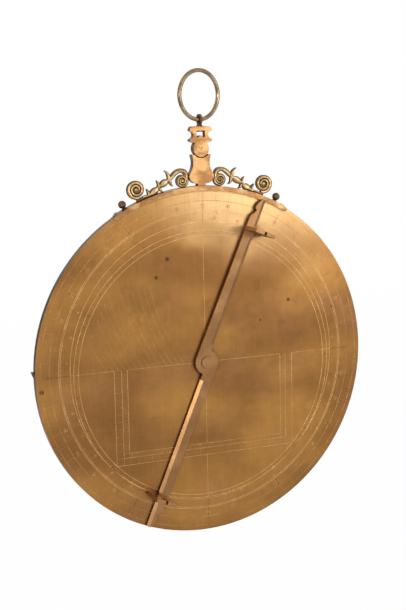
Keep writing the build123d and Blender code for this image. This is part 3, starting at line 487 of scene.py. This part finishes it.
# %% Finish of the lines
def line_brass(name, bright, faded):
    """Line colour that goes softly between a bright and a faded tone along the plate."""
    w = Wiring(name)
    wear = w.ramp(w.noise(14 * MM, detail=4.0, rough=0.6), 0.35, 0.65)
    fine = w.ramp(w.noise(2 * MM, detail=3.0), 0.3, 0.7)
    tone = w.mix(w.math("MULTIPLY", wear, fine), faded, bright)
    shader = w.node("ShaderNodeBsdfPrincipled")
    w.feed(shader.inputs["Base Color"], tone)
    shader.inputs["Metallic"].default_value = 0.8
    shader.inputs["Roughness"].default_value = 0.4
    out = w.node("ShaderNodeOutputMaterial")
    w.feed(out.inputs["Surface"], shader.outputs["BSDF"])
    return w.material


back_line = line_brass("back_line", linear(232, 188, 132), linear(190, 142, 88))
faint_line = line_brass("faint_line", linear(206, 160, 104), linear(158, 112, 64))
front_line = line_brass("front_line", linear(92, 62, 34), linear(120, 84, 46))
sky_line = line_brass("sky_line", linear(214, 176, 120), linear(168, 132, 84))
print("line finishes:", back_line.name, faint_line.name, front_line.name, sky_line.name)

# %% [markdown]
# The back carries a scale of altitudes round the rim, the scale of the zodiac inside it,
# the calendar circle, which is a little off centre because the Sun's path is, and the
# horizontal and vertical diameters.

# %% Circles and scales of the back
RIM_OUT = 158.4 * MM
RIM_DEGREES_IN = 155.6 * MM
RIM_FIVES_IN = 147.5 * MM
ZODIAC_OUT = 139.0 * MM
ZODIAC_DEGREES_OUT = 137.7 * MM
ZODIAC_DEGREES_IN = 134.8 * MM
ZODIAC_IN = 128.6 * MM
CALENDAR_CENTRE = (0.0, -4.6 * MM)
CALENDAR_OUT = 125.4 * MM
CALENDAR_DAYS_IN = 122.6 * MM
CALENDAR_IN = 121.0 * MM
CIRCLE_W = 0.5 * MM
DAYS = 365
every = np.arange(360)
days = np.arange(DAYS) * 360 / DAYS

circle_parts = [circle(r, width=CIRCLE_W) for r in (ZODIAC_OUT, ZODIAC_DEGREES_OUT, ZODIAC_IN)]
circle_parts += [circle(r, CALENDAR_CENTRE, CIRCLE_W) for r in (CALENDAR_OUT, CALENDAR_IN)]
circle_parts.append(cross(RIM_DEGREES_IN))
circle_parts.append(ticks(ZODIAC_IN, RIM_FIVES_IN, every[::30], width=LINE_W))
shown("back_circles", joined(circle_parts), BACK_Y, -1, "disc", back_line)

tick_parts = [circle(r, width=CIRCLE_W) for r in (RIM_DEGREES_IN, RIM_FIVES_IN)]
tick_parts.append(ticks(RIM_DEGREES_IN, RIM_OUT, every))
tick_parts.append(ticks(RIM_FIVES_IN, RIM_DEGREES_IN, every[::5]))
tick_parts.append(ticks(ZODIAC_OUT, RIM_FIVES_IN, every[::10], width=LINE_W))
tick_parts.append(ticks(ZODIAC_DEGREES_IN, ZODIAC_DEGREES_OUT, every + 0.5))
tick_parts.append(ticks(ZODIAC_IN, ZODIAC_DEGREES_IN, every[::5]))
tick_parts.append(ticks(CALENDAR_DAYS_IN, CALENDAR_OUT, days, CALENDAR_CENTRE))
tick_parts.append(ticks(CALENDAR_IN, CALENDAR_OUT, days[::5], CALENDAR_CENTRE))
shown("back_ticks", joined(tick_parts), BACK_Y, -1, "disc", faint_line)

# %% [markdown]
# In the lower half is the shadow square, which gives the tangent of an altitude: three
# nested frames with a ladder of divisions between them.

# %% Shadow square
SQUARE_HALF = [75.7 * MM, 81.2 * MM, 88.0 * MM]
SQUARE_DOWN = [77.0 * MM, 81.3 * MM, 87.9 * MM]
FINE_STEPS = 60
COARSE_STEPS = 12


def along_frame(inner, outer, count):
    """Ladder of short bars between two rails: down the sides and along the bottom."""
    share = np.linspace(0, 1, count + 1)
    sides_in = np.stack([np.full(count + 1, SQUARE_HALF[inner]), -share * SQUARE_DOWN[inner]], 1)
    sides_out = np.stack([np.full(count + 1, SQUARE_HALF[outer]), -share * SQUARE_DOWN[inner]], 1)
    floor_in = np.stack([share * SQUARE_HALF[inner], np.full(count + 1, -SQUARE_DOWN[inner])], 1)
    floor_out = np.stack([share * SQUARE_HALF[inner], np.full(count + 1, -SQUARE_DOWN[outer])], 1)
    start = np.concatenate([sides_in, floor_in])
    end = np.concatenate([sides_out, floor_out])
    mirrored = np.array([-1.0, 1.0])
    start = np.concatenate([start, start * mirrored])
    end = np.concatenate([end, end * mirrored])
    return bars(start, end, FINE_W)


rails = [ribbon([(-half, 0), (-half, -down), (half, -down), (half, 0)], CIRCLE_W)
         for half, down in zip(SQUARE_HALF, SQUARE_DOWN)]
shown("shadow_square", joined(rails), BACK_Y, -1, "disc", back_line)
ladders = [along_frame(0, 1, FINE_STEPS), along_frame(1, 2, COARSE_STEPS)]
shown("shadow_ladders", joined(ladders), BACK_Y, -1, "disc", faint_line)

# %% [markdown]
# The upper left quarter is filled with a fan of fine arcs that rise from the horizontal
# diameter at even steps. Arcs in that place are often a table that is read along the
# edge of the sighting rule. What these were for isn't known, and only their look is
# followed. All have the same radius: each arc's centre lies the same way up and to the
# right of its foot, and only its length differs.

# %% Fan of arcs
FAN_R = 200.0 * MM
FAN_FOOT_ANGLE = 215.0
FAN_SWEEP = 40.0
FAN_ANGLE_STEP = 0.5
FAN_TOP = 74.0 * MM
FAN_LIMIT_R = 114.0 * MM
FAN_SPACING = 5.7
FAN_FEET = np.arange(-106.0, -20.0, FAN_SPACING) * MM


def fan_line(foot):
    """Arc from its foot on the horizontal diameter: centre plus radius times (cos, sin),
    kept while it is below the fan's top and inside the limiting circle."""
    turn = math.radians(FAN_FOOT_ANGLE)
    centre_u = foot - FAN_R * math.cos(turn)
    centre_v = -FAN_R * math.sin(turn)
    angle = np.radians(np.arange(FAN_FOOT_ANGLE, FAN_FOOT_ANGLE - FAN_SWEEP, -FAN_ANGLE_STEP))
    path = np.stack([centre_u + FAN_R * np.cos(angle), centre_v + FAN_R * np.sin(angle)], 1)
    return path[(path[:, 1] < FAN_TOP) & (np.hypot(path[:, 0], path[:, 1]) < FAN_LIMIT_R)]


fan_parts = [ribbon(fan_line(foot)) for foot in FAN_FEET]
shown("fan_lines", joined(fan_parts), BACK_Y, -1, "disc", faint_line)

# %% [markdown]
# Numbers stand along the scales. Blender's own text makes them: it is turned into a
# mesh, read back as arrays, and then each number is set round its circle with its foot
# towards the centre, which is plain arithmetic on the points.

# %% Numbers
def number_shape(text, size):
    """Flat letters as arrays: points centred on their box, and triangles or quads."""
    curve = bpy.data.curves.new("number", "FONT")
    curve.body = text
    curve.size = size
    curve.align_x = "CENTER"
    curve.resolution_u = 2
    curve.extrude = (LINE_H + LINE_SINK) / 2
    writer = bpy.data.objects.new("number", curve)
    bpy.context.scene.collection.objects.link(writer)
    mesh = bpy.data.meshes.new_from_object(writer)
    mesh.calc_loop_triangles()
    points = np.zeros(len(mesh.vertices) * 3)
    mesh.vertices.foreach_get("co", points)
    triangles = np.zeros(len(mesh.loop_triangles) * 3, int)
    mesh.loop_triangles.foreach_get("vertices", triangles)
    bpy.data.objects.remove(writer)
    points = points.reshape(-1, 3)
    points[:, 1] -= (points[:, 1].min() + points[:, 1].max()) / 2
    points[:, 2] += (LINE_H - LINE_SINK) / 2
    return points, triangles.reshape(-1, 3)


def numbers(entries, radius, size, centre=(0.0, 0.0)):
    """Numbers round a circle: each entry is (text, angle). The text's up direction is
    turned to point outwards at its angle, and its foot to face the centre."""
    shapes = {}
    parts = []
    for text, angle in entries:
        if text not in shapes:
            shapes[text] = number_shape(text, size)
        points, triangles = shapes[text]
        turn = math.radians(angle) - math.pi / 2
        c, s = math.cos(turn), math.sin(turn)
        u = points[:, 0] * c - (points[:, 1] + radius) * s + centre[0]
        v = points[:, 0] * s + (points[:, 1] + radius) * c + centre[1]
        parts.append((np.stack([u, v, points[:, 2]], 1), triangles))
    return joined(parts)


ALTITUDE_R = 143.2 * MM
ALTITUDE_SIZE = 4.6 * MM
SIGN_R = 131.8 * MM
SIGN_SIZE = 3.2 * MM

altitudes = [(str(90 - abs(90 - k)), k) for k in range(10, 180, 10)]
altitudes += [(str(90 - abs(90 - k)), -k) for k in range(10, 180, 10)]
altitude_ring = numbers(altitudes, ALTITUDE_R, ALTITUDE_SIZE)
shown("altitude_numbers", altitude_ring, BACK_Y, -1, "disc", faint_line)
signs = [(str(10 * (k % 3 + 1)), 10 * k + 5) for k in range(36)]
shown("sign_numbers", numbers(signs, SIGN_R, SIGN_SIZE), BACK_Y, -1, "disc", faint_line)

# %% [markdown]
# The scrolls of the throne are flat where the saw cut them, and then a chisel gave them
# their life: a rounded band that winds into each volute, a ridge along the crest,
# domed leaves and pointed thorns. All of these are one kind of surface, a half-round
# section carried along a path while its width and height change, so one function
# makes them. They stand on both faces of the pierced plate. A place on the throne is
# given as a distance along the rim from its top and a rise above it, in millimetres.

# %% Half-round ridges
SADDLE_T = 0.8 * MM
RIM_R = DISC_R + SADDLE_T
SCROLL_T = 3.2 * MM
RIDGE_SINK = 0.15 * MM


def on_rim(along, rise):
    """Point (u, v) from the disc's centre: the rim's radius plus the rise, at the angle
    from the top that the distance along the rim makes."""
    angle = np.asarray(along, float) * MM / RIM_R
    radius = RIM_R + np.asarray(rise, float) * MM
    return np.stack([radius * np.sin(angle), radius * np.cos(angle)], -1)


def ridge(path, width, height, steps=8):
    """Vertices (u, v, h) and faces of a ridge. Its section is half an ellipse: across is
    half the width times a cosine and up is the height times a sine, with flat foot."""
    path = np.asarray(path, float)
    count = len(path)
    width = np.broadcast_to(width, count)[:, None]
    height = np.broadcast_to(height, count)[:, None]
    along = np.gradient(path, axis=0)
    along /= np.linalg.norm(along, axis=1)[:, None]
    normal = np.stack([-along[:, 1], along[:, 0]], 1)
    angle = np.linspace(0, np.pi, steps)[None, :]
    across = -np.cos(angle) * width / 2
    up = np.sin(angle) * height - RIDGE_SINK
    flat = path[:, None, :] + normal[:, None, :] * across[:, :, None]
    vertices = np.concatenate([flat, up[:, :, None]], 2).reshape(-1, 3)
    row, corner = np.arange(count - 1), np.arange(steps)
    a = (row[:, None] * steps + corner).ravel()
    b = (row[:, None] * steps + (corner + 1) % steps).ravel()
    sides = np.stack([a, a + steps, b + steps, b], 1)
    middle = np.arange(1, steps - 1)
    fan = np.stack([np.zeros(steps - 2, int), middle, middle + 1], 1)
    last = (count - 1) * steps
    return vertices, sides.tolist() + fan.tolist() + (last + fan[:, ::-1]).tolist()


print("the saddle's outer radius is", round(RIM_R / MM, 1), "mm")

# %% [markdown]
# The ridges need paths. A crest or a stem is a smooth curve through a few points, and a
# volute is a spiral whose radius falls as it winds. In the middle of each volute stands
# a small domed button, which is made of rings of points. The last helper gathers pieces
# into one, also where some faces have three corners and others four.

# %% Curves, volutes and buttons
VOLUTE_STEPS = 28


def smooth_path(points, count=40):
    """Even points along a smooth curve through a few given ones: between two of them a
    cubic blend of their places and of the slopes from their neighbours."""
    points = np.asarray(points, float)
    slope = np.gradient(points, axis=0)
    where = np.linspace(0, len(points) - 1, count)
    k = np.minimum(where.astype(int), len(points) - 2)
    t = (where - k)[:, None]
    return ((2 * t ** 3 - 3 * t ** 2 + 1) * points[k] + (t ** 3 - 2 * t ** 2 + t) * slope[k]
            + (3 * t ** 2 - 2 * t ** 3) * points[k + 1] + (t ** 3 - t ** 2) * slope[k + 1])


def volute(centre, r_start, r_end, turns, start, side):
    """Spiral path: the radius falls evenly while the angle turns, in degrees."""
    share = np.linspace(0, 1, int(turns * VOLUTE_STEPS))
    angle = np.radians(start + side * 360 * turns * share)
    radius = (r_start + (r_end - r_start) * share)[:, None] * MM
    return centre + radius * np.stack([np.cos(angle), np.sin(angle)], 1)


def dome(centre, radius, height, rings=5, around=20):
    """Round button: rings of points at radius times cosine and height times sine."""
    tilt = np.linspace(0, np.pi / 2, rings, endpoint=False)[:, None]
    turn = np.linspace(0, 2 * np.pi, around, endpoint=False)[None, :]
    u = centre[0] + radius * np.cos(tilt) * np.cos(turn)
    v = centre[1] + radius * np.cos(tilt) * np.sin(turn)
    h = np.broadcast_to(height * np.sin(tilt) - RIDGE_SINK, u.shape)
    vertices = np.stack([u, v, h], 2).reshape(-1, 3)
    vertices = np.concatenate([vertices, [[*centre, height - RIDGE_SINK], [*centre, -RIDGE_SINK]]])
    ring, spoke = np.arange(rings - 1), np.arange(around)
    a = (ring[:, None] * around + spoke).ravel()
    b = (ring[:, None] * around + (spoke + 1) % around).ravel()
    top, foot = rings * around, rings * around + 1
    last = (rings - 1) * around
    sides = np.stack([a, b, b + around, a + around], 1).tolist()
    caps = [[last + int(k), last + (int(k) + 1) % around, top] for k in spoke]
    caps += [[(int(k) + 1) % around, int(k), foot] for k in spoke]
    return vertices, sides + caps


def gathered(parts):
    """Pieces whose faces have three or four corners, as one vertex array and face list."""
    vertices, faces, offset = [], [], 0
    for points, corners in parts:
        vertices.append(points)
        faces += [[int(c) + offset for c in face] for face in corners]
        offset += len(points)
    return np.concatenate(vertices), faces


print("a button has", len(dome((0.0, 0.0), MM, MM)[1]), "faces")

# %% [markdown]
# Each scroll has a large volute at its outer end and a small one beside the bracket. A
# crest rises over the small one, a stem and a tail join it to the large one, leaves lie
# on the stem and thorns stand off it. The left scroll is the right one mirrored. Seen
# from the front the two change places, so there each takes the other's shape.

# %% The carved scrolls
OUTER_VOLUTE = {"at": (59.3, 10.7), "radii": (7.6, 2.8), "turns": 1.85, "start": 158,
                "widths": (2.4, 1.6), "height": 0.9, "button": (1.6, 1.2)}
INNER_VOLUTE = {"at": (17.5, 6.0), "radii": (5.2, 1.9), "turns": 1.7, "start": 75,
                "widths": (1.7, 1.2), "height": 0.8, "button": (1.2, 1.0)}
CREST = [(26.8, 10.3), (22.8, 13.7), (17.7, 15.2), (14.2, 13.2), (13.2, 9.6), (13.4, 6.0)]
STEM = [(51.0, 0.9), (43.5, 4.2), (35.0, 7.6), (26.6, 10.4)]
TAIL = [(44.0, 1.4), (50.0, 1.7), (56.0, 2.2)]
BANDS = [(CREST, (2.6, 1.6), 1.0), (STEM, (2.0, 2.0), 0.9), (TAIL, (1.6, 1.6), 0.7)]
LEAVES = [(44.5, 3.0), (34.1, 7.4)]
LEAF_SLOPE = 36.0
LEAF_HALF = 5.2 * MM
LEAF_W = 5.0 * MM
LEAF_H = 1.1 * MM
LEAF_TIP = 0.02
THORN_H = 0.9 * MM
THORN_TIP = 0.06
THORNS = [
    ((49.9, 1.8), (50.2, 4.9), (50.6, 7.5), 2.4),
    ((39.3, 5.5), (39.3, 8.8), (40.1, 11.5), 2.4),
    ((28.8, 10.1), (29.2, 14.5), (31.5, 18.0), 3.0),
    ((39.1, 4.5), (38.3, 2.0), (36.9, 0.4), 2.4),
    ((28.4, 9.0), (28.2, 5.6), (26.5, 2.8), 2.6),
]


def leaf(centre, side):
    """Domed almond: a ridge whose width follows a parabola from tip to tip."""
    share = np.linspace(-1, 1, 15)
    slope = np.radians(-side * LEAF_SLOPE)
    path = centre + share[:, None] * LEAF_HALF * np.array([np.cos(slope), np.sin(slope)])
    swell = np.clip(1 - share ** 2, LEAF_TIP, 1)
    return ridge(path, LEAF_W * swell, LEAF_H * np.sqrt(swell))


def carved_scroll(side):
    """All ridges of one scroll, on its left (-1) or right (1) side."""
    def place(points):
        points = np.asarray(points, float)
        return on_rim(side * points[..., 0], points[..., 1])

    parts = []
    for shape in (OUTER_VOLUTE, INNER_VOLUTE):
        middle = place(shape["at"])
        path = volute(middle, *shape["radii"], shape["turns"], 90 + side * shape["start"], side)
        widths = np.linspace(*shape["widths"], len(path)) * MM
        button_r, button_h = shape["button"]
        parts.append(ridge(path, widths, shape["height"] * MM))
        parts.append(dome(middle, button_r * MM, button_h * MM))
    for points, widths, height in BANDS:
        path = smooth_path(place(points))
        parts.append(ridge(path, np.linspace(*widths, len(path)) * MM, height * MM))
    parts += [leaf(place(at), side) for at in LEAVES]
    for root, bend, tip, width in THORNS:
        path = smooth_path(place([root, bend, tip]), 12)
        taper = np.linspace(1, THORN_TIP, len(path))
        parts.append(ridge(path, width * MM * taper, THORN_H * np.sqrt(taper)))
    return gathered(parts)


for side, name in ((1, "right"), (-1, "left")):
    for facing, face_name in ((-1, "back"), (1, "front")):
        piece = shown(f"scroll_{name}_{face_name}_carving", carved_scroll(-facing * side),
                      facing * SCROLL_T / 2, facing, "disc", carving)
        piece.data.shade_smooth()

# %% [markdown]
# The other side of the instrument is a map of the sky. Its raised limb is a clock dial
# of 24 hours, numbered twice from 1 to 12, with a scale of degrees outside the hours.

# %% Scales of the limb
LIMB_W = 21.6 * MM
HOUR_IN = DISC_R - LIMB_W + 1.4 * MM
HOUR_OUT = DISC_R - LIMB_W + 9.4 * MM
HOUR_SIZE = 5.0 * MM
DEGREE_IN = DISC_R - 7.6 * MM
DEGREE_OUT = DISC_R - 3.4 * MM

limb_parts = [circle(r) for r in (HOUR_IN, HOUR_OUT, DEGREE_OUT)]
limb_parts.append(ticks(DEGREE_IN, DEGREE_OUT, every))
limb_parts.append(ticks(HOUR_OUT, DEGREE_IN, every[::5]))
limb_parts.append(circle(DEGREE_IN))
shown("limb_scales", joined(limb_parts), LIMB_Y, 1, "disc", front_line)
hours = [(str((k + 5) % 12 + 1), 180 - 15 * k) for k in range(24)]
hour_ring = numbers(hours, (HOUR_IN + HOUR_OUT) / 2, HOUR_SIZE)
shown("hour_numbers", hour_ring, LIMB_Y, 1, "disc", front_line)

# %% [markdown]
# Under the star map lies the topmost plate, with the lines of equal altitude above the
# horizon. In the stereographic projection each of them is a circle whose centre and
# radius follow from the latitude, so a short formula draws the whole net. The lines are
# bright, because dark ones would not show on this dull plate.

# %% Lines of the topmost plate
LATITUDE = math.radians(48)
OBLIQUITY = math.radians(23.5)
TYMPAN_MARGIN = 2.6 * MM
TROPIC = TYMPAN_R - TYMPAN_MARGIN
EQUATOR = TROPIC * math.tan((math.pi / 2 - OBLIQUITY) / 2)
ALTITUDE_STEP = 5
LESSER_W = 0.6 * LINE_W


def clipped(path, radius):
    """Splits a path into the stretches that lie inside a radius."""
    inside = np.hypot(path[:, 0], path[:, 1]) < radius
    cuts = np.flatnonzero(np.diff(inside.astype(int))) + 1
    kept = inside[[0, *cuts]]
    return [run for run, keep in zip(np.split(path, cuts), kept) if keep and len(run) > 2]


def almucantar(altitude):
    """Circle of equal altitude a at latitude p: its centre stands E cos p / (sin p + sin a)
    above the pole and its radius is E cos a / (sin p + sin a), E being the equator's radius."""
    below = math.sin(LATITUDE) + math.sin(altitude)
    radius = EQUATOR * math.cos(altitude) / below
    rise = EQUATOR * math.cos(LATITUDE) / below
    return arc(radius, -90, 270, (0, rise), step=1.0)


sky_parts = [circle(TROPIC), circle(EQUATOR), circle(EQUATOR ** 2 / TROPIC)]
for degrees in range(0, 90, ALTITUDE_STEP):
    for run in clipped(almucantar(math.radians(degrees)), TROPIC):
        sky_parts.append(ribbon(run, LINE_W if degrees % 10 == 0 else LESSER_W))
sky_parts.append(cross(TROPIC))
shown("sky_lines", joined(sky_parts), TYMPAN_Y, 1, "disc", sky_line)

# %% [markdown]
# The room is a plain studio: a pale floor far below the hanging instrument and a white
# background. The white is in the colour that the camera and the reflections see, by the
# Light Path node, and not in more light.

# %% Floor and world
FLOOR_Z = -1.3
FLOOR_HALF = 6.0
FLOOR_WHITE = 0.985
FLOOR_COLOUR = (0.8, 0.8, 0.8, 1.0)
AMBIENT = 0.55


def white_when_seen(name, colour):
    """Surface of which the camera and reflections see a share FLOOR_WHITE as plain white.
    The rest of it, and all of it for other light, is a pale surface that takes shadows."""
    w = Wiring(name)
    path = w.node("ShaderNodeLightPath")
    seen = w.math("MAXIMUM", path.outputs["Is Camera Ray"],
                  w.math("MAXIMUM", path.outputs["Is Glossy Ray"], path.outputs["Is Transmission Ray"]))
    pale = w.node("ShaderNodeBsdfDiffuse")
    pale.inputs["Color"].default_value = colour
    white = w.node("ShaderNodeEmission")
    white.inputs["Strength"].default_value = 1.0
    blend = w.node("ShaderNodeMixShader")
    w.feed(blend.inputs[0], w.math("MULTIPLY", seen, FLOOR_WHITE))
    w.feed(blend.inputs[1], pale.outputs[0])
    w.feed(blend.inputs[2], white.outputs[0])
    out = w.node("ShaderNodeOutputMaterial")
    w.feed(out.inputs["Surface"], blend.outputs[0])
    return w.material


floor_mesh = bpy.data.meshes.new("floor")
corners = [(-FLOOR_HALF, -FLOOR_HALF, FLOOR_Z), (FLOOR_HALF, -FLOOR_HALF, FLOOR_Z),
           (FLOOR_HALF, FLOOR_HALF, FLOOR_Z), (-FLOOR_HALF, FLOOR_HALF, FLOOR_Z)]
floor_mesh.from_pydata(corners, [], [(0, 1, 2, 3)])
floor_mesh.materials.append(white_when_seen("floor_white", FLOOR_COLOUR))
floor = bpy.data.objects.new("floor", floor_mesh)
bpy.context.scene.collection.objects.link(floor)

world = bpy.data.worlds.new("studio")
world.use_nodes = True
bpy.context.scene.world = world
room = world.node_tree
room.nodes.clear()
rays = room.nodes.new("ShaderNodeLightPath")
either = room.nodes.new("ShaderNodeMath")
either.operation = "MAXIMUM"
any_seen = room.nodes.new("ShaderNodeMath")
any_seen.operation = "MAXIMUM"
level = room.nodes.new("ShaderNodeMapRange")
level.inputs["To Min"].default_value = AMBIENT
level.inputs["To Max"].default_value = 1.0
sky = room.nodes.new("ShaderNodeBackground")
sky.inputs["Color"].default_value = (1.0, 1.0, 1.0, 1.0)
sky_out = room.nodes.new("ShaderNodeOutputWorld")
room.links.new(rays.outputs["Is Camera Ray"], either.inputs[0])
room.links.new(rays.outputs["Is Glossy Ray"], either.inputs[1])
room.links.new(either.outputs[0], any_seen.inputs[0])
room.links.new(rays.outputs["Is Transmission Ray"], any_seen.inputs[1])
room.links.new(any_seen.outputs[0], level.inputs["Value"])
room.links.new(level.outputs["Result"], sky.inputs["Strength"])
room.links.new(sky.outputs[0], sky_out.inputs["Surface"])
print("white world, ambient level", AMBIENT)

# %% [markdown]
# Two soft lamps stand on the viewer's side: one on the right, and a smaller one on the
# left, near the camera, which lights the bevel of the sighting rule's lower arm. A dark
# card stands behind the instrument on the left. Only reflections see it, and it gives
# the rim its dark left side.

# %% Two lamps and a dark card
CARD_COLOUR = (0.02, 0.018, 0.015, 1.0)


def lamp(name, place, target, size, power):
    """Square soft lamp at a place, turned so that its -Z looks at the target."""
    data = bpy.data.lights.new(name, "AREA")
    data.size = size
    data.energy = power
    made = bpy.data.objects.new(name, data)
    bpy.context.scene.collection.objects.link(made)
    back = np.array(place, float) - np.array(target, float)
    back /= np.linalg.norm(back)
    right = np.cross((0.0, 0.0, 1.0), back)
    right /= np.linalg.norm(right)
    turn = np.eye(4)
    turn[:3] = np.stack([right, np.cross(back, right), back, place], 1)
    made.matrix_world = turn.T.tolist()


def dark_card(name, start, end, low, high):
    """Upright black card from one (x, y) to another, which only reflections see."""
    w = Wiring("card_black")
    black = w.node("ShaderNodeBsdfDiffuse")
    black.inputs["Color"].default_value = CARD_COLOUR
    out = w.node("ShaderNodeOutputMaterial")
    w.feed(out.inputs["Surface"], black.outputs[0])
    mesh = bpy.data.meshes.new(name)
    corners = [(*start, low), (*end, low), (*end, high), (*start, high)]
    mesh.from_pydata(corners, [], [(0, 1, 2, 3)])
    mesh.materials.append(w.material)
    card = bpy.data.objects.new(name, mesh)
    bpy.context.scene.collection.objects.link(card)
    card.visible_camera = False
    card.visible_diffuse = False
    card.visible_shadow = False


centre = (0.0, 0.0, DISC_Z)
lamp("right_lamp", place=(0.8, -1.2, 0.0), target=centre, size=0.4, power=4.6)
lamp("left_lamp", place=(-0.74, -1.05, 0.06), target=centre, size=0.3, power=4.5)
dark_card("left_card", start=(-0.75, 0.55), end=(-0.42, 0.95), low=-0.75, high=0.15)
print("two lamps and a dark card")
